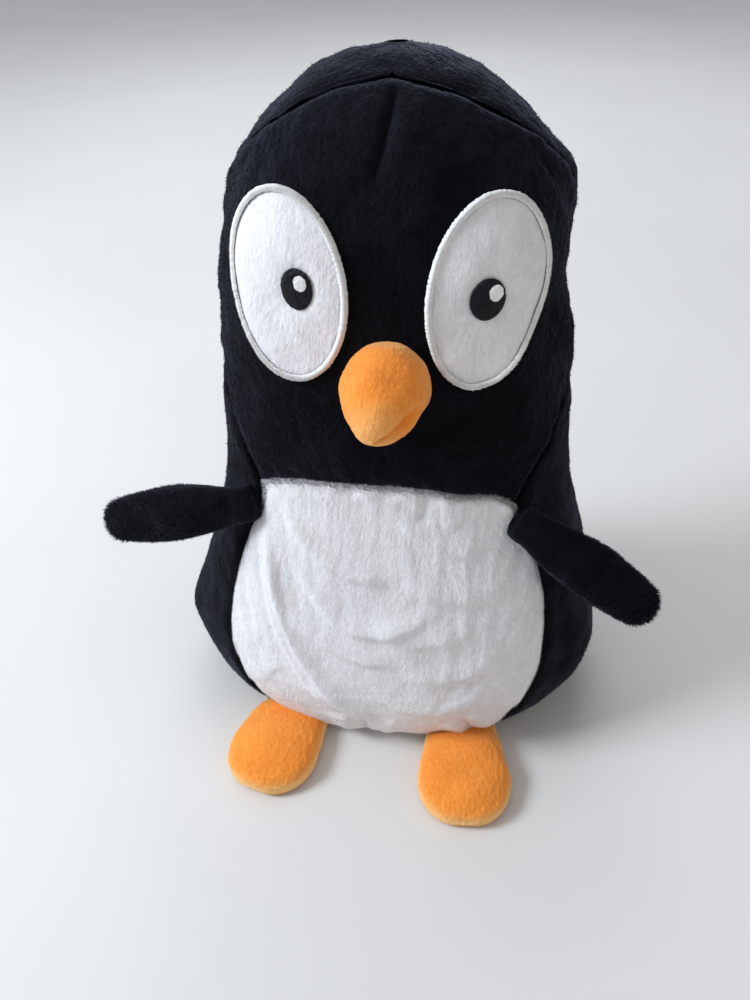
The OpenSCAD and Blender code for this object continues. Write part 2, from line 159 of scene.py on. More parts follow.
def seam_angle(u, side=1):
    """Angle of the side seam in degrees; slack cloth carries it a little further round, most on the left."""
    u = np.asarray(u, float)
    left_slump = 3.0 * np.exp(-(((u - 0.36) / 0.12) ** 2))
    right_slump = 0.8 * np.exp(-(((u - 0.2) / 0.1) ** 2))
    slump = np.where(np.asarray(side) > 0, left_slump, right_slump)
    return np.where(u >= SEAM_TOP, 0, np.maximum(look(SEAM, u, 1) + slump, 0))


def belly_top_u(q):
    """Height share of the belly's top edge; q runs from -1 on the toy's right to 1 on its left.

    It is highest on the right, with a step down at the pleat and a low left corner.
    """
    q = np.asarray(q, float)
    wobble = 1.2 * np.exp(-(((q + 0.25) / 0.4) ** 2)) - 1.5 / (1 + np.exp(-(q - 0.38) / 0.045))
    wobble += 0.35 * np.sin(9 * q + 1) - 3.0 * np.clip((q - 0.7) / 0.3, 0, 1) ** 2
    return (BELLY_TOP_Z + BELLY_RISE * (1 - q**2) + wobble) / BODY_H


def waves(p, size, seed, count=7):
    """Smooth seeded noise from -1 to 1 with features of about that size."""
    rng = np.random.default_rng(seed)
    total = np.zeros(len(p))
    for direction, phase, stretch in zip(
        unit(rng.normal(size=(count, 3))), rng.uniform(0, 6.283, count), rng.uniform(0.7, 1.4, count)
    ):
        total += np.sin(p @ direction * (2 * math.pi / size) * stretch + phase)
    return total / math.sqrt(count) / 1.4


# ---- Meshes ----

def make_mesh(name, points, faces):
    mesh = bpy.data.meshes.new(name)
    mesh.from_pydata((np.asarray(points) * MM).tolist(), [], faces)
    mesh.validate()
    mesh.shade_smooth()
    piece = bpy.data.objects.new(name, mesh)
    bpy.context.scene.collection.objects.link(piece)
    p = read(piece)
    if (normals(piece) * (p - p.mean(0))).sum() < 0:
        mesh.flip_normals()
    return piece


def grid_faces(rows, columns, wrap=False, first=0):
    faces = []
    for i in range(rows - 1):
        for j in range(columns if wrap else columns - 1):
            k = (j + 1) % columns
            faces.append([
                first + i * columns + j, first + i * columns + k,
                first + (i + 1) * columns + k, first + (i + 1) * columns + j,
            ])
    return faces


def grid_piece(name, grid, wrap=False, close_start=False, close_end=False):
    """Mesh from rows of points; a closed end gets a fan to its middle."""
    rows, columns, _ = grid.shape
    points = grid.reshape(-1, 3)
    faces = grid_faces(rows, columns, wrap)
    for wanted, row, turn in ((close_start, 0, True), (close_end, rows - 1, False)):
        if wanted:
            points = np.vstack([points, grid[row].mean(0)])
            tip = len(points) - 1
            for j in range(columns):
                tri = [row * columns + j, row * columns + (j + 1) % columns, tip]
                faces.append(tri[::-1] if turn else tri)
    return make_mesh(name, points, faces)


def read(piece):
    co = np.zeros(len(piece.data.vertices) * 3, np.float32)
    piece.data.vertices.foreach_get("co", co)
    return co.reshape(-1, 3).astype(float) / MM


def write(piece, points):
    piece.data.vertices.foreach_set("co", (points * MM).astype(np.float32).ravel())
    piece.data.update()


def normals(piece):
    n = np.zeros(len(piece.data.vertices) * 3, np.float32)
    piece.data.vertex_normals.foreach_get("vector", n)
    return n.reshape(-1, 3).astype(float)


def subdivide(piece, levels=1):
    bpy.context.view_layer.objects.active = piece
    modifier = piece.modifiers.new("smooth", "SUBSURF")
    modifier.levels = modifier.render_levels = levels
    modifier.boundary_smooth = "PRESERVE_CORNERS"
    with bpy.context.temp_override(object=piece, active_object=piece):
        bpy.ops.object.modifier_apply(modifier=modifier.name)
    piece.data.shade_smooth()


def edge_distance(piece):
    """Distance in millimetres from every vertex to the piece's open edge."""
    mesh = piece.data
    edge_of = np.zeros(len(mesh.loops), np.int32)
    mesh.loops.foreach_get("edge_index", edge_of)
    ends = np.zeros(len(mesh.edges) * 2, np.int32)
    mesh.edges.foreach_get("vertices", ends)
    open_edges = np.bincount(edge_of, minlength=len(mesh.edges)) == 1
    p = read(piece)
    rim = p[np.unique(ends.reshape(-1, 2)[open_edges])]
    parts = np.array_split(p, max(1, len(p) // 2000))
    return np.concatenate([np.sqrt(((part[:, None] - rim[None]) ** 2).sum(2).min(1)) for part in parts])


def attribute(piece, name, values):
    layer = piece.data.attributes.new(name, "FLOAT", "POINT")
    layer.data.foreach_set("value", np.asarray(values, np.float32))


def puff(piece, pressure=0.3, spare=0.02, gravity=0.0, cap=4.0, frames=20, stiffness=6.0, support=0.1):
    """Cloth simulation with the open edge held: the panel fills and its spare cloth buckles.

    support is how firmly the stuffing behind it, an elastic bed, holds the rest of the panel.
    """
    rest = read(piece)
    held = piece.vertex_groups.new(name="held")
    distance = edge_distance(piece)
    edge = distance < 0.01
    held.add(np.nonzero(edge)[0].tolist(), 1.0, "REPLACE")
    held.add(np.nonzero(~edge)[0].tolist(), support, "REPLACE")
    modifier = piece.modifiers.new("cloth", "CLOTH")
    cloth = modifier.settings
    cloth.quality = 5
    cloth.mass = 0.02
    cloth.tension_stiffness = cloth.compression_stiffness = cloth.shear_stiffness = stiffness
    cloth.bending_stiffness = 0.05
    cloth.use_pressure = True
    cloth.uniform_pressure_force = pressure
    cloth.vertex_group_mass = "held"
    cloth.shrink_min = -spare
    cloth.effector_weights.gravity = gravity
    modifier.collision_settings.use_collision = False
    modifier.point_cache.frame_start, modifier.point_cache.frame_end = 1, frames
    scene = bpy.context.scene
    for step in range(1, frames + 1):
        scene.frame_set(step)
    evaluated = piece.evaluated_get(bpy.context.evaluated_depsgraph_get())
    co = np.zeros(len(rest) * 3, np.float32)
    evaluated.data.vertices.foreach_get("co", co)
    move = co.reshape(-1, 3) / MM - rest
    piece.modifiers.remove(modifier)
    scene.frame_set(1)
    length = np.linalg.norm(move, axis=1, keepdims=True)
    print(f"cloth {piece.name}: moved up to {length.max():.2f} mm, mean {length.mean():.2f} mm, "
          f"{(length > cap).sum()} over the cap")
    move *= np.minimum(1, cap / np.maximum(length, 1e-6))
    write(piece, rest + move)


# ---- Relief: seams, folds and bumps ----

def seam_relief(distance, p, depth=2.2, seed=5):
    """Height of a panel beside its seam: it turns in, with the cloth gathered a little by the thread."""
    gather = 0.5 * waves(p, 9, seed) * np.exp(-(((distance - 3.5) / 3.5) ** 2))
    return -depth * np.exp(-((distance / 1.7) ** 2)) + 0.5 * np.exp(-(((distance - 6) / 5) ** 2)) + gather


def fold_relief(p2, folds):
    """Sum of folds in a plane. A fold is (x0, z0, x1, z1, bow, width, height)."""
    total = np.zeros(len(p2))
    for x0, z0, x1, z1, bow, width, height in folds:
        a, b = np.array([x0, z0], float), np.array([x1, z1], float)
        run = b - a
        length = np.linalg.norm(run)
        run /= length
        across = np.array([-run[1], run[0]])
        t = ((p2 - a) @ run) / length
        off = (p2 - a) @ across - bow * 4 * t * (1 - t)
        ends = np.clip((t + 0.05) / 0.3, 0, 1) * np.clip((1.05 - t) / 0.3, 0, 1)
        ends = ends * ends * (3 - 2 * ends)
        side = np.where(off > 0, width * 1.6, width * 0.75)
        total += height * ends * np.exp(-((off / side) ** 2))
    return total


def bumps(p, spots):
    """Sum of round bumps. A bump is (x, y, z, radius, height)."""
    total = np.zeros(len(p))
    for x, y, z, radius, height in spots:
        total += height * np.exp(-(((p - (x, y, z)) ** 2).sum(1)) / radius**2)
    return total


def point_at(a, u):
    return tuple(body_point(u, a))


# Where the stuffing stands out or gives way
BODY_BUMPS = [
    (*point_at(90, 0.86), 14, 3.4), (*point_at(70, 0.705), 18, -4.0), (*point_at(-80, 0.72), 20, -1.2),
    (*point_at(-80, 0.125), 15, 5.0), (*point_at(-88, 0.32), 24, -3.2), (*point_at(70, 0.13), 20, 2.0),
    (*point_at(96, 0.735), 18, -4.4), (*point_at(-92, 0.72), 26, 2.0),
    (*point_at(-60, 0.24), 22, -2.0), (*point_at(58, 0.22), 20, -1.5),
    (*point_at(150, 0.45), 26, 1.6), (*point_at(-140, 0.30), 28, 1.6),
    (*point_at(-100, 0.60), 24, -1.4), (*point_at(110, 0.42), 22, 1.4),
    (*point_at(170, 0.75), 24, -1.2), (*point_at(-165, 0.62), 22, 1.2),
]
# Folds of the front, in x and z
DART = [(2, 292, -6, 262, 0.5, 1.4, -2.2), (8, 291, 1, 260, 1, 4.5, 0.9), (-6, 290, -13, 260, -1, 4.5, 0.9)]
FACE_FOLDS = DART + [
    (-5, 268, -18, 250, 1, 4, -0.7), (-5, 268, 9, 250, -1, 4, -0.7), (-5, 266, -5, 246, 0, 5, -0.5),
    (12, 220, 2, 246, 2, 7, -0.6), (-54, 170, -30, 186, -3, 8, 0.8), (52, 168, 34, 184, 3, 8, 0.8),
    (-30, 158, 24, 156, -3, 7, 0.7), (22, 152, 20, 166, 0, 3, -0.9), (-66, 190, -60, 215, 0, 6, -0.8),
    (62, 190, 66, 215, 0, 6, -0.9),
]
BELLY_FOLDS = [
    # Drag folds that fan out from the corner on the toy's right
    (-52, 123, -6, 25, -13, 3.4, 3.1), (-55, 116, -22, 30, -9, 3.2, 2.3), (-47, 135, 6, 103, -10, 3.4, 2.7),
    (-38, 103, 24, 88, -17, 3.8, 2.6), (-44, 83, 9, 62, -6, 3.4, 2.2), (-34, 46, -3, 27, -3, 2.8, 2.0),
    # Sagging folds on the toy's left
    (4, 134, 46, 116, -5, 3.6, 1.5), (10, 104, 52, 97, -5, 4.0, 1.5), (12, 56, 58, 66, -6, 4.4, 1.6),
    (4, 38, 54, 44, -7, 4.0, 1.5), (-4, 78, 46, 82, -6, 3.8, 1.1),
    # Pleat in the top edge, pucker in the bottom edge and tucks beside the left foot
    (19, 146, 16, 130, 0, 2.4, -1.4), (25, 145, 29, 126, 1, 3.2, 1.0), (-7, 4, -8, 22, 0, 1.6, -2.2),
    (-15, 6, -20, 26, -1, 3.6, 1.5), (4, 6, 8, 26, 1, 3.6, 1.5), (44, 8, 34, 26, 2, 3.0, 1.7),
    (57, 12, 43, 34, 2, 3.2, 1.7), (50, 8, 40, 28, 2, 2.0, -1.6), (-62, 34, -46, 52, 2, 4.0, 1.1),
]


def dress(piece, folds=(), seam_depth=2.2, grain=0.12, seed=1, front=False):
    """Adds the seam's valley, folds, bumps and the pile's unevenness to a panel."""
    p, n, distance = read(piece), normals(piece), edge_distance(piece)
    below_crown = np.clip((BODY_H + 4 - p[:, 2]) / 30, 0.15, 1)
    height = seam_relief(distance, p, seam_depth) * below_crown + bumps(p, BODY_BUMPS)
    height += 0.5 * waves(p, 46, 11) + 0.28 * waves(p, 21, 12)
    if folds:
        height += fold_relief(p[:, [0, 2]], folds) * np.clip(distance / 5, 0.25 if front else 0, 1)
    height += grain * waves(p, 2.6, seed, 11) * np.clip(distance / 2, 0.2, 1)
    height *= np.clip(p[:, 2] / 6, 0, 1)
    write(piece, p + n * height[:, None])
    return distance


# ---- Materials ----

class Nodes:
    """A material's node tree, with short calls to add to it."""

    def __init__(self, name):
        self.material = bpy.data.materials.new(name)
        self.material.use_nodes = True
        self.tree = self.material.node_tree
        self.shader = self.tree.nodes["Principled BSDF"]
        self.place = self.add("ShaderNodeTexCoord").outputs["Object"]

    def add(self, kind, **values):
        node = self.tree.nodes.new(kind)
        for key, value in values.items():
            setattr(node, key, value)
        return node

    def link(self, source, target):
        self.tree.links.new(source, target)

    def noise(self, scale, detail=3.0, rough=0.55, stretch=(1, 1, 1)):
        mapping = self.add("ShaderNodeMapping")
        mapping.inputs["Scale"].default_value = stretch
        self.link(self.place, mapping.inputs["Vector"])
        texture = self.add("ShaderNodeTexNoise")
        texture.inputs["Scale"].default_value = scale
        texture.inputs["Detail"].default_value = detail
        texture.inputs["Roughness"].default_value = rough
        self.link(mapping.outputs[0], texture.inputs["Vector"])
        return texture.outputs["Fac"]

    def ramp(self, value, stops):
        ramp = self.add("ShaderNodeValToRGB")
        elements = ramp.color_ramp.elements
        while len(elements) < len(stops):
            elements.new(0.5)
        for element, (place, colour) in zip(elements, stops):
            element.position, element.color = place, (*colour, 1)
        self.link(value, ramp.inputs[0])
        return ramp.outputs["Color"]

    def mix(self, a, b, factor):
        mix = self.add("ShaderNodeMix", data_type="RGBA")
        for socket, value in ((mix.inputs[6], a), (mix.inputs[7], b)):
            if isinstance(value, tuple):
                socket.default_value = (*value, 1)
            else:
                self.link(value, socket)
        self.link(factor, mix.inputs[0])
        return mix.outputs[2]

    def sum(self, *weighted):
        total = None
        for value, weight in weighted:
            times = self.add("ShaderNodeMath", operation="MULTIPLY")
            self.link(value, times.inputs[0])
            times.inputs[1].default_value = weight
            if total is None:
                total = times.outputs[0]
            else:
                plus = self.add("ShaderNodeMath", operation="ADD")
                self.link(total, plus.inputs[0])
                self.link(times.outputs[0], plus.inputs[1])
                total = plus.outputs[0]
        return total

    def bump(self, height, distance, strength=1.0):
        bump = self.add("ShaderNodeBump")
        bump.inputs["Distance"].default_value = distance
        bump.inputs["Strength"].default_value = strength
        self.link(height, bump.inputs["Height"])
        self.link(bump.outputs[0], self.shader.inputs["Normal"])

    def attribute(self, name):
        return self.add("ShaderNodeAttribute", attribute_name=name).outputs["Fac"]


def plush(name, dark, light, painted_sheen_colour, sheen, sheen_tint, sheen_rough, pile=0.0009):
    """Short pile: grain that follows the nap, brushed patches with painted shade, and a paler edge that is a
    painted sheen.
    """
    m = Nodes(name)
    grain = m.noise(1500, 2.0, 0.7, (1, 1, 0.34))
    tufts = m.noise(520, 3.0, 0.6, (1, 1, 0.5))
    patches = m.noise(38, 3.0, 0.6, (1, 1, 0.6))
    colour = m.ramp(m.sum((grain, 0.35), (tufts, 0.35), (patches, 0.3)), [(0.36, dark), (0.62, light)])
    # nap darkens the colour: brushed patches, plus painted shade low on the face and in the beak's crease
    colour = m.mix(colour, dark, m.attribute("nap"))
    # rim pales it towards the third colour, a painted sheen on edges and pile tips
    colour = m.mix(colour, painted_sheen_colour, m.attribute("rim"))
    m.link(colour, m.shader.inputs["Base Color"])
    m.shader.inputs["Roughness"].default_value = 0.95
    m.shader.inputs["Specular IOR Level"].default_value = 0.12
    # Less sheen where nap is high, so the painted shade also dulls the pile
    nap_and_shade_sheen = m.add("ShaderNodeMapRange")
    m.link(m.attribute("nap"), nap_and_shade_sheen.inputs["Value"])
    nap_and_shade_sheen.inputs["To Min"].default_value = sheen
    nap_and_shade_sheen.inputs["To Max"].default_value = sheen * 0.12
    m.link(nap_and_shade_sheen.outputs[0], m.shader.inputs["Sheen Weight"])
    m.shader.inputs["Sheen Roughness"].default_value = sheen_rough
    m.shader.inputs["Sheen Tint"].default_value = (*sheen_tint, 1)
    m.bump(m.sum((grain, 0.5), (tufts, 1.0)), pile, 0.9)
    return m.material


def thread(name, dark, light, roughness, sheen):
    """Embroidery thread: fine twist along the strands, with soft gloss."""
    m = Nodes(name)
    twist = m.noise(1900, 2.0, 0.5, (1, 1, 1))
    cast = m.noise(240, 2.0, 0.5)
    colour = m.ramp(m.sum((twist, 0.6), (cast, 0.4)), [(0.35, dark), (0.62, light)])
    m.link(colour, m.shader.inputs["Base Color"])
    m.shader.inputs["Roughness"].default_value = roughness
    m.shader.inputs["Sheen Weight"].default_value = sheen
    m.shader.inputs["Specular IOR Level"].default_value = 0.2
    m.bump(twist, 0.0002, 0.6)
    return m.material


# The third colour of each plush is a painted sheen, laid on edges and pile tips
BLACK = plush("black_plush", (0.0016, 0.0018, 0.0030), (0.0060, 0.0068, 0.0110), (0.012, 0.013, 0.019),
              0.62, (0.30, 0.35, 0.48), 0.38)
WHITE = plush("white_plush", (0.70, 0.69, 0.71), (0.86, 0.85, 0.86), (0.88, 0.88, 0.89),
              0.25, (1.0, 1.0, 1.0), 0.5, 0.0006)
ORANGE = plush("orange_plush", (0.89, 0.24, 0.032), (0.98, 0.36, 0.060), (0.98, 0.58, 0.22),
               0.5, (1.0, 0.72, 0.42), 0.45, 0.0008)
WHITE_THREAD = thread("white_thread", (0.80, 0.79, 0.77), (0.95, 0.95, 0.94), 0.50, 0.3)
BLACK_THREAD = thread("black_thread", (0.0015, 0.0018, 0.0030), (0.0060, 0.0070, 0.0110), 0.50, 0.04)


def finish_piece(piece, material, body, nodes=(), nap=None, rim=None):
    """Gives a piece its material, slot, body and the CAD nodes it stands for."""
    count = len(piece.data.vertices)
    attribute(piece, "nap", np.zeros(count) if nap is None else nap)
    attribute(piece, "rim", np.zeros(count) if rim is None else rim)
    piece.data.materials.clear()
    piece.data.materials.append(material)
    if body:
        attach(piece, body)
    if nodes:
        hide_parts(*nodes)
    return piece


# ---- Loose pile ----

# The way the body's pile lies
NAP_DOWN = (0, 0, -0.7)


def pile(name, piece, chance, length, lean, material, slot, count, seed, width=0.14, body="body"):
    """Fine tufts of pile standing on a finished piece, thickest where chance is near 1.

    Each is a narrow blade that leans along the nap. chance is given per vertex.
    """
    mesh = piece.data
    p, n = read(piece), normals(piece)
    mesh.calc_loop_triangles()
    corners = np.zeros(len(mesh.loop_triangles) * 3, np.int32)
    mesh.loop_triangles.foreach_get("vertices", corners)
    corners = corners.reshape(-1, 3)
    a, b, c = p[corners[:, 0]], p[corners[:, 1]], p[corners[:, 2]]
    weight = np.linalg.norm(np.cross(b - a, c - a), axis=1) * np.clip(chance, 0, 1)[corners].mean(1)
    rng = np.random.default_rng(seed)
    pick = rng.choice(len(corners), count, p=weight / weight.sum())
    r = np.sqrt(rng.uniform(0, 1, (count, 1)))
    t = rng.uniform(0, 1, (count, 1))
    shares = np.concatenate([1 - r, r * (1 - t), r * t], 1)
    root = (p[corners[pick]] * shares[..., None]).sum(1)
    up = unit((n[corners[pick]] * shares[..., None]).sum(1))
    nap = np.array(lean, float) + 0.55 * rng.normal(size=(count, 3))
    way = unit(up + nap)
    side = unit(np.cross(way, rng.normal(size=(count, 3))))
    side *= np.sign((np.cross(side, way) * up).sum(1, keepdims=True))
    side *= width * rng.uniform(0.6, 1.2, (count, 1))
    tall = (length * rng.uniform(0.45, 1.1, count))[:, None]
    root = root - 0.15 * up
    middle = root + way * tall * 0.6
    tip = root + unit(way + 0.5 * np.array(lean, float)) * tall
    blade = [root - side, root + side, middle + side * 0.7, middle - side * 0.7, tip]
    points = np.stack(blade, 1).reshape(-1, 3)
    first = np.arange(count) * 5
    faces = np.concatenate([
        np.stack([first, first + 1, first + 2, first + 3], 1).ravel(),
        np.stack([first + 3, first + 2, first + 4], 1).ravel(),
    ])
    data = bpy.data.meshes.new(name)
    data.vertices.add(len(points))
    data.vertices.foreach_set("co", (points * MM).astype(np.float32).ravel())
    data.loops.add(len(faces))
    data.loops.foreach_set("vertex_index", faces.astype(np.int32))
    data.polygons.add(2 * count)
    starts = np.concatenate([first // 5 * 4, 4 * count + first // 5 * 3])
    data.polygons.foreach_set("loop_start", starts.astype(np.int32))
    data.update(calc_edges=True)
    data.validate()
    data.normals_split_custom_set_from_vertices(np.repeat(unit(up + 0.25 * way), 5, 0).tolist())
    tufts = bpy.data.objects.new(name, data)
    bpy.context.scene.collection.objects.link(tufts)
    nap = np.full(5 * count, 0.6 if material is BLACK else 0.0)
    # Blade tips take the paler colour, a painted sheen
    return finish_piece(tufts, material, body, nap=nap, rim=np.tile([0.0, 0.0, 0.5, 0.5, 1.0], count))


# ---- Body ----

# (x, z, radius, strength)
NAP_SPOTS = [
    (22, 262, 11, 0.9), (30, 250, 9, 0.8), (17, 246, 8, 0.7), (-24, 254, 10, 0.6), (-36, 246, 8, 0.5),
    (2, 170, 12, 0.5), (-44, 170, 12, 0.5), (46, 172, 12, 0.6), (8, 226, 9, 0.6), (-6, 238, 8, 0.5),
]


def brushed_nap_and_painted_shade(p):
    """Where fingers have brushed the pile darker, plus painted shade that makes the face below the crown
    darker and duller and the crown lighter, from 0 to 1.
    """
    # Painted shade: darker and duller below the crown, lighter on top where the light falls
    lit = np.clip((p[:, 2] - 222) / 50, 0, 1)
    nap = 0.72 * (1 - lit * lit * (3 - 2 * lit)) + 0.2 * (waves(p, 34, 31) + 0.5 * waves(p, 13, 32))
    for x, z, radius, strength in NAP_SPOTS:
        d = np.hypot(p[:, 0] - x, p[:, 2] - z) * (1 + 0.2 * waves(p, 15, 33))
        nap += np.where(p[:, 1] < 0, strength * np.exp(-((d / radius) ** 4)), 0)
    return np.clip(nap, 0, 1)


def face_boundary(count):
    """Chart points (angle, height share) round the face panel, evenly spaced along its edge."""
    up = 1 - (1 - np.linspace(0, 1, 400)) ** 2
    edges = []
    for side in (1, -1):
        corner = float(belly_top_u(side))
        u = corner + (SEAM_TOP - 0.0008 - corner) * up
        edges.append(np.stack([side * seam_angle(u, side), u], 1))
    q = np.linspace(-1, 1, 200)
    bottom_u = belly_top_u(q)
    bottom = np.stack([q * seam_angle(bottom_u, q), bottom_u], 1)
    loop = np.vstack([edges[0], edges[1][::-1], bottom[1:-1]])
    xyz = body_point(loop[:, 1], loop[:, 0])
    step = np.linalg.norm(np.diff(np.vstack([xyz, xyz[:1]]), axis=0), axis=1)
    run = np.concatenate([[0], np.cumsum(step)])
    wanted = np.arange(count) * run[-1] / count
    closed = np.vstack([loop, loop[:1]])
    return np.stack([np.interp(wanted, run, closed[:, k]) for k in (0, 1)], 1)


def face_cover():
    columns, rings = 260, 46
    edge = face_boundary(columns)
    middle = np.array([0.0, 0.66])
    share = np.linspace(0.06, 1, rings)[:, None, None]
    chart = middle + share * (edge - middle)[None]
    piece = grid_piece("face_cover", body_point(chart[..., 1], chart[..., 0]), wrap=True, close_start=True)
    puff(piece, pressure=0.25, spare=0.012, cap=3)
    subdivide(piece)
    dress(piece, FACE_FOLDS, 1.1, seed=21, front=True)
    p = read(piece)
    pile("face_pile", piece, np.full(len(p), 0.5), 1.3, NAP_DOWN, BLACK, "black_plush", 30000, 301)
    # Its nap holds brushed patches and painted shade, darker low on the face and lighter on the crown
    return finish_piece(piece, BLACK, "body", ["face_panel", "body_stuffing"],
                        brushed_nap_and_painted_shade(p))


def belly_cover():
    rows, columns = 84, 92
    q = np.linspace(-1, 1, columns)[None]
    s = np.linspace(0, 1, rows)[:, None]
    u = BASE_U + (belly_top_u(q) - BASE_U) * s
    piece = grid_piece("belly_cover", body_point(u, q * seam_angle(u, q)))
    puff(piece, pressure=0.2, spare=0.006, gravity=0.3, cap=5, support=0.1)
    subdivide(piece)
    distance = dress(piece, BELLY_FOLDS, 1.5, seed=22)
    # rim: a painted sheen, paler along the belly's edges
    rim = np.exp(-((distance / 2.5) ** 2)) * 0.6
    p = read(piece)
    edge = np.exp(-(((distance - 1.8) / 1.2) ** 2)) * (p[:, 2] > 8)
    pile("belly_pile", piece, edge, 1.1, NAP_DOWN, WHITE, "white_plush", 9000, 302, 0.09)
    top = np.exp(-((distance / 1.3) ** 2)) * (p[:, 2] > 120)
    pile("belly_edge_pile", piece, top, 2.3, (0, -0.2, 0.8), WHITE, "white_plush", 5200, 303)
    return finish_piece(piece, WHITE, "body", ["belly_panel"], rim=rim)


def back_cover(name, side):
    rows, columns = 96, 76
    u = BASE_U + (CROWN_TOP - BASE_U) * (1 - (1 - np.linspace(0, 1, rows)) ** 1.35)[:, None]
    a = seam_angle(u, side)
    angles = a + (180 - a) * np.linspace(0, 1, columns)[None]
    grid = body_point(u, side * angles)
    grid[:, -1, 0] = 0
    piece = grid_piece("back_cover_" + name, grid)
    puff(piece, pressure=0.2, spare=0.012, cap=3)
    subdivide(piece)
    dress(piece, seam_depth=1.2, seed=23 + side)
    chance = (read(piece)[:, 2] > 6) * 0.5
    pile("back_pile_" + name, piece, chance, 1.3, NAP_DOWN, BLACK, "black_plush", 26000, 304 + side)
    # Its nap holds painted shade, darker low down and lighter on the crown
    return finish_piece(piece, BLACK, "body", ["back_panel_" + name],
                        brushed_nap_and_painted_shade(read(piece)))


def base_cover():
    columns = 160
    a = np.arange(columns) * 360 / columns
    rim = body_point(BASE_U, a)
    middle = rim.mean(0) * (1, 1, 0)
    rings = [middle + (rim - middle) * s * (1, 1, 0) + (0, 0, z)
             for s, z in ((1.0, 1.25), (0.985, 0.5), (0.96, 0.1), (0.9, 0.0), (0.6, 0.15), (0.2, 0.25))]
    piece = grid_piece("base_cover", np.array(rings), wrap=True, close_end=True)
    subdivide(piece)
    return finish_piece(piece, BLACK, "body", ["base_panel"])


class Relief:
    """Map of the dressed surface seen from the front or back.

    Called with x and z, it gives the points there and their smoothed normals.
    """

    STEP = 1.0

    def __init__(self, pieces, x, z, back=False):
        self.x, self.z = np.arange(*x, self.STEP), np.arange(*z, self.STEP)
        side = self.side = 1 if back else -1
        trees = [BVHTree.FromPolygons([v.co for v in p.data.vertices], [f.vertices for f in p.data.polygons])
                 for p in pieces]
        self.y = np.full((len(self.z), len(self.x)), np.nan)
        for i, z_here in enumerate(self.z):
            for j, x_here in enumerate(self.x):
                start = Vector((x_here, side * 300, z_here)) * MM
                hits = [t.ray_cast(start, Vector((0, -side, 0)))[0] for t in trees]
                found = [h.y / MM for h in hits if h is not None]
                if found:
                    self.y[i, j] = max(found) if back else min(found)
        smooth = np.nan_to_num(self.y, nan=np.nanmean(self.y))
        for _ in range(3):
            padded = np.pad(smooth, 1, mode="edge")
            smooth = sum(padded[1 + di:1 + di + len(self.z), 1 + dj:1 + dj + len(self.x)]
                         for di in (-1, 0, 1) for dj in (-1, 0, 1)) / 9
        self.slope_z, self.slope_x = np.gradient(smooth, self.STEP)
        self.y = np.where(np.isnan(self.y), smooth, self.y)

    def at(self, field, x, z):
        fx = np.clip((x - self.x[0]) / self.STEP, 0, len(self.x) - 1.001)
        fz = np.clip((z - self.z[0]) / self.STEP, 0, len(self.z) - 1.001)
        j, i = fx.astype(int), fz.astype(int)
        s, t = fx - j, fz - i
        return ((1 - t) * ((1 - s) * field[i, j] + s * field[i, j + 1])
                + t * ((1 - s) * field[i + 1, j] + s * field[i + 1, j + 1]))

    def __call__(self, x, z):
        x, z = np.broadcast_arrays(np.asarray(x, float), np.asarray(z, float))
        point = np.stack([x, self.at(self.y, x, z), z], -1)
        slope_x, slope_z = self.at(self.slope_x, x, z), self.at(self.slope_z, x, z)
        slopes = np.stack([slope_x, np.full(x.shape, -1.0), slope_z], -1)
        return point, unit(slopes * -self.side)


# ---- Eyes ----

def laid_oval(find, cx, cz, rx, rz, shares, lifts, columns, lean=0.0, dent=(0, 0)):
    """Rings of an oval laid on the face: shares of its size, and each ring's lift."""
    a = (np.arange(columns) * 2 * math.pi / columns)[None]
    share, lift = np.array(shares)[:, None], np.array(lifts)[:, None, None]
    reach = share * oval_reach(a, dent)
    x = cx + rx * reach * np.cos(a) + lean * rz * share * np.sin(a)
    point, normal = find(x, cz + rz * reach * np.sin(a))
    return point + normal * lift


def oval_reach(a, dent):
    """Outline of an oval as a share of a true one; dent is (angle in degrees, depth)."""
    off = (np.degrees(a) - dent[0] + 180) % 360 - 180
    return 1 - dent[1] * np.exp(-((off / 24) ** 2))


# How far the face's slack moves each pupil, in x and z
EYE_SAG = {"left": (-0.8, -2.0), "right": (0, 0)}
# What it does to each eye's outline: (width share, angle of a pinch, depth of the pinch as a share)
EYE_SLACK = {"left": (0.90, -20, 0.06), "right": (0.97, 200, 0.02)}
# Width of the satin stitch round each eye
EYE_BORDER = 2.6


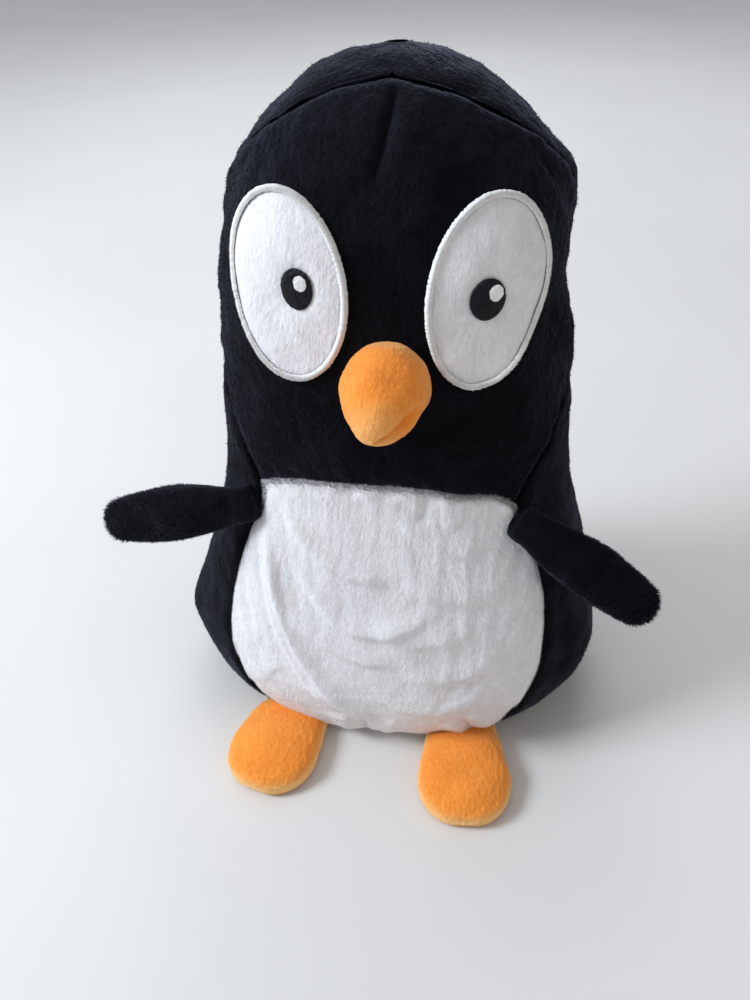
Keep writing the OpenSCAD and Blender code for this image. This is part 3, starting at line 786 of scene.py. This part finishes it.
def eye(name, side, find):
    low, high = box_mm("eye_border_" + name)
    cx, cz = (low[0] + high[0]) / 2, (low[2] + high[2]) / 2
    rx, rz = (high[0] - low[0]) / 2, (high[2] - low[2]) / 2
    lean = 0.05 * side
    narrow, *dent = EYE_SLACK[name]
    rx *= narrow
    columns = 96
    shares = np.array([1.0, 0.97, 0.93, 0.86, 0.76, 0.64, 0.5, 0.36, 0.22, 0.1])
    lifts = [0.5, 0.8, 1.0, 1.2, 1.4, 1.5, 1.5, 1.4, 1.3, 1.2]
    inner = (rx - EYE_BORDER * 0.35, rz - EYE_BORDER * 0.35)
    rings = laid_oval(find, cx, cz, *inner, shares, lifts, columns, lean, dent)
    patch = grid_piece("eye_cover_" + name, rings, wrap=True, close_end=True)
    subdivide(patch, 2)
    p, n = read(patch), normals(patch)
    pupil_low, pupil_high = box_mm("pupil_" + name)
    px, pz = (pupil_low[0] + pupil_high[0]) / 2, (pupil_low[2] + pupil_high[2]) / 2
    near = np.hypot(p[:, 0] - px, (p[:, 2] - pz) / 1.3)
    dip = 0.8 * np.exp(-((near / 7.5) ** 4))
    p += n * (0.3 * waves(p, 17, 40 + side) + 0.05 * waves(p, 2.4, 42) - dip)[:, None]
    write(patch, p)
    finish_piece(patch, WHITE, "body", ["eye_patch_" + name])

    # Satin stitches: each is one raised strand across the border
    stitches = 330
    profile = [(0.0, 0.15), (-0.05, 0.9), (0.3, 2.1), (0.9, 2.65), (1.6, 2.6), (2.2, 2.2), (2.6, 1.6)]
    rng = np.random.default_rng(60 + side)
    jitter = rng.normal(0, 0.09, stitches)
    rings = []
    guides = 90
    angle = np.arange(guides) * 2 * math.pi / guides
    reach = oval_reach(angle, dent)
    half_border = EYE_BORDER / 2
    centre, normal = find(cx + (rx * reach - half_border) * np.cos(angle) + lean * rz * np.sin(angle),
                          cz + (rz * reach - half_border) * np.sin(angle))
    count = stitches * 3
    where = np.arange(count) * guides / count

    def along_track(values):
        closed = np.vstack([values, values[:1]])
        return np.stack([np.interp(where, np.arange(guides + 1), closed[:, k]) for k in range(3)], 1)

    centre, normal = along_track(centre), unit(along_track(normal))
    forward = unit(np.roll(centre, -1, 0) - np.roll(centre, 1, 0))
    outward = unit(np.cross(forward, normal))
    outward *= np.sign((outward * (centre - centre.mean(0))).sum(1).mean())
    strand = np.arange(count) // 3
    crown = np.array([0.0, 1.0, 0.0])[np.arange(count) % 3]
    for inset, lift in profile:
        # The thread is fully round across the border and flatter where it enters the cloth
        roundness = 1 if 0 <= inset <= 2.3 else 0.35 if inset == EYE_BORDER else 0.1
        reach = half_border - inset + jitter[strand] * (1 if inset < half_border else -1)
        height = lift * 0.88 + 0.45 * crown * roundness - 0.1
        rings.append(centre + outward * reach[:, None] + normal * height[:, None])
    ring = grid_piece("eye_stitching_" + name, np.array(rings), wrap=True)
    finish_piece(ring, WHITE_THREAD, "body", ["eye_border_" + name])

    for kind, base, top, pitch, material, slot in (
        ("pupil", 1.3, 1.5, 0.55, BLACK_THREAD, "black_thread"),
        ("highlight", 2.0, 1.1, 0.5, WHITE_THREAD, "white_thread"),
    ):
        low, high = box_mm(f"{kind}_{name}")
        c = ((low + high) / 2)[[0, 2]] + EYE_SAG[name]
        half = ((high - low) / 2)[[0, 2]]
        rows = np.array([1.0, 0.985, 0.95, 0.88, 0.78, 0.66, 0.54, 0.42, 0.3, 0.18, 0.06])
        rise = base + top * (1 - rows**2) ** 0.4 * 0.75
        rings = laid_oval(find, *c, *half, rows, rise, 64)
        patch = grid_piece(f"{kind}_stitching_{name}", rings, wrap=True, close_end=True)
        subdivide(patch, 2)
        p, n = read(patch), normals(patch)
        strands = np.abs(np.sin(math.pi * (p[:, 0] + 0.18 * p[:, 2]) / pitch)) ** 0.7
        p += n * (0.2 * strands + 0.1 * waves(p, 1.6, 71))[:, None]
        write(patch, p)
        finish_piece(patch, material, "body", [f"{kind}_{name}"])


# ---- Beak ----

def beak_cover(find):
    low, high = box_mm("beak_cover")
    radius = (high[0] - low[0]) / 2
    points = node_points("beak_cover")
    tip = points[points[:, 1].argmin()] + (-2.5, 0, 0)
    base_z = points[points[:, 1] > points[:, 1].max() - 6][:, 2].mean()
    base, out = find((low[0] + high[0]) / 2, base_z)
    base = base - out * 1.0
    reach = tip - base
    length = np.linalg.norm(reach)
    rows, columns = 44, 120
    s = 1 - (1 - np.linspace(0, 1, rows)) ** 1.5
    a = np.arange(columns) * 2 * math.pi / columns
    rings = []
    for share in s:
        centre = base + 2 * share * (1 - share) * 0.4 * length * out + share**2 * reach
        tangent = unit((1 - 2 * share) * 0.8 * length * out + 2 * share * reach)
        up = unit(np.cross((1, 0, 0), -tangent))
        sideways = unit(np.cross(up, -tangent))
        sideways = sideways * np.sign(sideways[0])
        r = radius * float(look(CONE, share, 1))
        rings.append(centre + r * np.cos(a)[:, None] * sideways + r * np.sin(a)[:, None] * up)
    piece = grid_piece("beak_cover_pile", np.array(rings), wrap=True, close_end=True)
    puff(piece, pressure=0.4, spare=0.004, cap=1.5)
    subdivide(piece)
    p, n = read(piece), normals(piece)
    # Its seam draws in a crease beside the tip, with a lobe of cloth outside it
    t = np.clip(((p - base) @ reach) / length**2, 0, 1.1)
    above = unit(np.cross((1, 0, 0), -unit(reach)))
    angle = np.degrees(np.arctan2((p - base) @ above, (p - base - t[:, None] * reach)[:, 0]))

    def ridge(centre, width):
        return np.exp(-((((angle - centre + 180) % 360 - 180) / width) ** 2))

    late = np.clip((t - 0.42) / 0.3, 0, 1)
    height = -3.6 * ridge(16, 12) * late + 1.3 * ridge(-20, 20) * late * np.clip(1.15 - t, 0, 1)
    height += 0.55 * waves(p, 15, 51) + 0.08 * waves(p, 2.2, 52, 11) - 1.2 * np.exp(-((t / 0.06) ** 2))
    write(piece, p + n * height[:, None])
    # Painted sheen pales the tip and the ring round the base, and painted shade darkens the crease
    rim = np.clip((t - 0.74) / 0.3, 0, 1) * 0.55 + 0.3 * np.exp(-((t / 0.1) ** 2))
    return finish_piece(piece, ORANGE, "body", ["beak_cover", "beak_stuffing"],
                        nap=0.5 * ridge(16, 12) * late, rim=rim)


# ---- Flippers ----

def flipper_frame(name, side):
    """Seam point, fold point and directions of a flipper, from its two joints."""
    lift, swing = JOINTS["flipper_lift_" + name], JOINTS["flipper_swing_" + name]
    seam, fold = np.array(lift["pos_m"]) / MM, np.array(swing["pos_m"]) / MM
    normal = unit(np.array(lift["axis"]) * side)
    neck = unit(fold - seam)
    along = unit(2 * (normal @ neck) * neck - normal)
    across = -unit(np.array(swing["axis"]))
    return seam, fold, neck, along, across, unit(np.cross(along, across))


# Root of the flipper: (distance along the neck, half width, half thickness)
NECK = [(-7.0, 6.5, 2.6), (-3.0, 7.4, 3.0), (0.5, 8.0, 3.2), (3.5, 8.2, 3.4), (5.6, 8.3, 3.6)]
# Its dents and folds, as in BELLY_FOLDS, along and across the flipper
FLIPPER_FOLDS = [
    (4, -5, 26, 2, 2, 3, -1.1), (6, 6, 30, 8, -1, 3, -0.9),
    (18, -8, 46, -2, 2, 4, 0.9), (40, 3, 66, 6, 1, 4, -0.8),
]


def flipper(name, side):
    seam, fold, neck, along, across, through = flipper_frame(name, side)
    points = np.vstack([node_points(f"flipper_{part}_{name}") for part in ("front", "back")]) - fold
    length, wide, thick = (points @ along).max(), (points @ across).max(), (points @ through).max()
    columns = 96
    a = np.arange(columns) * 2 * math.pi / columns
    rings = []
    neck_through = unit(np.cross(neck, across))
    out = unit(np.array(JOINTS["flipper_lift_" + name]["axis"]) * side)
    beside = unit(along - (along @ out) * out)
    for d, half_wide, half_thick in NECK:
        centre = seam + d * neck + 4.0 * max(0, 1 - max(d, 0) / 5) * beside
        rings.append(centre + half_wide * np.cos(a)[:, None] * across
                     + half_thick * np.sin(a)[:, None] * neck_through)
    for share in (1 - np.cos(np.linspace(0.12, 1, 44) * math.pi)) / 2:
        half_wide = wide * float(look(LEAF, share, 1))
        half_thick = max(thick * float(look(LEAF, share, 2)), 3.6 if share < 0.5 else 0)
        rings.append(fold + (0.4 + share * length) * along + half_wide * np.cos(a)[:, None] * across
                     + half_thick * np.sin(a)[:, None] * through)
    piece = grid_piece("flipper_cover_" + name, np.array(rings), wrap=True, close_start=True, close_end=True)
    subdivide(piece)
    p, n = read(piece), normals(piece)
    q = p - fold
    t, w, h = q @ along / length, q @ across, q @ through
    outline = wide * look(LEAF, np.clip(t, 0, 1), 1)
    at_seam = np.exp(-(((outline - np.abs(w)) / 1.6) ** 2)) * np.exp(-((h / 2.2) ** 2))
    height = -1.0 * at_seam * np.clip(t * 8, 0, 1) + 0.55 * waves(p, 22, 81 + side)
    height += 0.16 * waves(p, 2.6, 83, 11)
    height += fold_relief(np.stack([t * length, w], 1), FLIPPER_FOLDS)
    write(piece, p + n * height[:, None])
    nap = np.clip(0.6 + 0.3 * waves(p, 18, 84), 0, 1)
    # rim: a painted sheen, paler along the flipper's edge seam
    rim = 0.5 * at_seam
    nodes = [f"flipper_{part}_{name}" for part in ("root", "front", "back", "stuffing")]
    finish_piece(piece, BLACK, None, nodes, nap, rim)
    # Short pile all over, and longer tufts at the tip: (name, chance, length, count)
    for label, chance, tall, count in (
        ("pile", np.clip((t - 0.2) * 4, 0, 1), 1.4, 9000),
        ("tuft", np.clip((t - 0.86) * 8, 0, 1), 2.6, 1500),
    ):
        tufts = pile(f"flipper_{label}_{name}", piece, chance, tall, 0.5 * along, BLACK, "black_plush",
                     count, 308, body=None)
        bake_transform(tufts)
    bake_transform(piece)
    return piece


# ---- Feet ----

def foot(name):
    joint = JOINTS["foot_fold_" + name]
    root = np.array(joint["pos_m"]) / MM
    sideways = unit(np.array(joint["axis"]))
    forward = unit(np.cross(sideways, (0, 0, 1)))
    forward = forward if forward[1] < 0 else -forward
    points = node_points("foot_top_" + name) - root
    length, wide = (points @ forward).max(), np.abs(points @ sideways).max()
    rim_z, top_z = 4.8, box_mm("foot_top_" + name)[1][2] + 2.4
    rows, columns = 44, 48
    share = (1 - np.cos(np.linspace(0, 1, rows) * math.pi)) / 2
    half = wide * look(PAW, share, 1)
    rise = look(PAW, share, 2)
    rise[0] = rise[-1] = 0
    back = -9.0

    def layer(top):
        grid = []
        for s, w, r in zip(share, half, rise):
            a = np.linspace(math.pi, 0, columns)
            x = w * np.cos(a)
            if top:
                z = rim_z + (top_z - rim_z) * r * np.sin(a) ** 0.82
            else:
                z = rim_z - (rim_z - 0.1) * np.sin(a) ** 0.35 * min(1, r * 1.6)
            y = back + s * (length - back)
            grid.append(np.array([root[0], root[1], 0]) + x[:, None] * sideways + y * forward
                        + z[:, None] * np.array([0, 0, 1.0]))
        return np.array(grid)

    for top, part in ((True, "top"), (False, "sole")):
        piece = grid_piece(f"foot_{part}_pile_{name}", layer(top))
        puff(piece, pressure=0.3 if top else 0.0, spare=0.01, cap=1.2)
        subdivide(piece)
        p, n, distance = read(piece), normals(piece), edge_distance(piece)
        height = 0.6 * waves(p, 16, 91) + 0.18 * waves(p, 2.4, 92, 11) if top else np.zeros(len(p))
        height = height * np.clip(distance / 3, 0, 1)
        p = p + n * height[:, None]
        p[:, 2] = np.maximum(p[:, 2], 0.05)
        write(piece, p)
        # rim: a painted sheen, paler round the foot's edge
        rim = np.exp(-((distance / 3.4) ** 2))
        nodes = ["foot_top_" + name, "foot_stuffing_" + name] if top else ["foot_sole_" + name]
        finish_piece(piece, ORANGE, None, nodes, rim=rim)
        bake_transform(piece)


# ---- Closing stitches ----

def closing_thread(find):
    """Ladder stitches that closed the opening in the back seam after stuffing."""
    low, high = box_mm("closing_stitches")
    rings_all, faces, first = [], [], 0
    sides = 8
    for z in np.linspace(low[2] + 0.5, high[2] - 0.5, 8):
        x = np.linspace(low[0], high[0], 9)
        place, normal = find(x, z + 0.12 * x)
        path = place + normal * (0.45 - 1.1 * np.abs(x / high[0]) ** 4)[:, None]
        forward = unit(np.gradient(path, axis=0))
        for centre, t in zip(path, forward):
            a = np.arange(sides) * 2 * math.pi / sides
            u = unit(np.cross(t, (0, 0, 1)))
            v = np.cross(u, t)
            rings_all.append(centre + 0.5 * (np.cos(a)[:, None] * u + np.sin(a)[:, None] * v))
        faces += grid_faces(len(path), sides, wrap=True, first=first)
        faces.append([first + k for k in range(sides)][::-1])
        faces.append([first + (len(path) - 1) * sides + k for k in range(sides)])
        first += len(path) * sides
    piece = make_mesh("closing_thread", np.vstack(rings_all), faces)
    subdivide(piece)
    return finish_piece(piece, BLACK_THREAD, "body", ["closing_stitches"])


# ---- Camera, light and floor ----

def camera():
    azimuth, elevation, roll = math.radians(8), math.radians(40), math.radians(-1.5)
    distance, target = 0.396, Vector((-0.010, 0, 0.100))
    back = Vector((math.sin(azimuth) * math.cos(elevation), -math.cos(azimuth) * math.cos(elevation),
                   math.sin(elevation)))
    right = Vector((0, 0, 1)).cross(back).normalized()
    up = back.cross(right)
    right, up = (right * math.cos(roll) + up * math.sin(roll), up * math.cos(roll) - right * math.sin(roll))
    data = bpy.data.cameras.new("camera")
    data.lens, data.sensor_width = 28.44, 36
    data.clip_start = 0.01
    view = bpy.data.objects.new("camera", data)
    view.matrix_world = Matrix((
        (right.x, up.x, back.x, 0), (right.y, up.y, back.y, 0), (right.z, up.z, back.z, 0), (0, 0, 0, 1),
    ))
    view.location = target + back * distance
    bpy.context.scene.collection.objects.link(view)
    bpy.context.scene.camera = view


def lamp(name, place, size, power, colour):
    data = bpy.data.lights.new(name, "AREA")
    data.shape, data.size, data.energy, data.color = "DISK", size, power, colour
    light = bpy.data.objects.new(name, data)
    light.location = place
    light.rotation_euler = (Vector((0, 0, 0.12)) - Vector(place)).to_track_quat("-Z", "Y").to_euler()
    bpy.context.scene.collection.objects.link(light)


def studio():
    lamp("key", (-1.15, -0.30, 0.95), 0.5, 19.0, (0.85, 0.92, 1.0))
    lamp("fill", (1.1, -0.6, 0.7), 1.1, 2.4, (1.0, 0.86, 0.70))
    lamp("back", (-0.1, 1.3, 1.2), 1.2, 9.0, (0.90, 0.95, 1.0))
    sun = bpy.data.lights.new("sky", "SUN")
    sun.energy, sun.angle, sun.color = 0.75, 1.2, (0.93, 0.96, 1.0)
    sky = bpy.data.objects.new("sky", sun)
    sky.rotation_euler = (math.radians(-20), math.radians(-28), 0)
    bpy.context.scene.collection.objects.link(sky)
    world = bpy.data.worlds.new("studio")
    bpy.context.scene.world = world
    world.use_nodes = True
    world.node_tree.nodes["Background"].inputs["Color"].default_value = (0.90, 0.93, 1.0, 1)
    world.node_tree.nodes["Background"].inputs["Strength"].default_value = 0.36
    mesh = bpy.data.meshes.new("floor")
    mesh.from_pydata([(-4, -4, 0), (4, -4, 0), (4, 4, 0), (-4, 4, 0)], [], [(0, 1, 2, 3)])
    floor = bpy.data.objects.new("floor", mesh)
    bpy.context.scene.collection.objects.link(floor)
    m = Nodes("floor")
    colour = m.ramp(m.noise(3, 2), [(0.3, (0.66, 0.65, 0.63)), (0.7, (0.70, 0.69, 0.67))])
    m.link(colour, m.shader.inputs["Base Color"])
    m.shader.inputs["Roughness"].default_value = 0.8
    mesh.materials.append(m.material)
    bpy.context.scene.view_settings.view_transform = "Standard"


# ---- The toy ----

camera()
studio()
face = face_cover()
belly_cover()
backs = [back_cover(name, side) for name, side in SIDES]
base_cover()
bpy.context.view_layer.update()
front_surface = Relief([face], (-74, 75), (150, 274))
for name, side in SIDES:
    eye(name, side, front_surface)
    flipper(name, side)
    foot(name)
beak_cover(front_surface)
closing_thread(Relief(backs, (-8, 9), (15, 80), back=True))
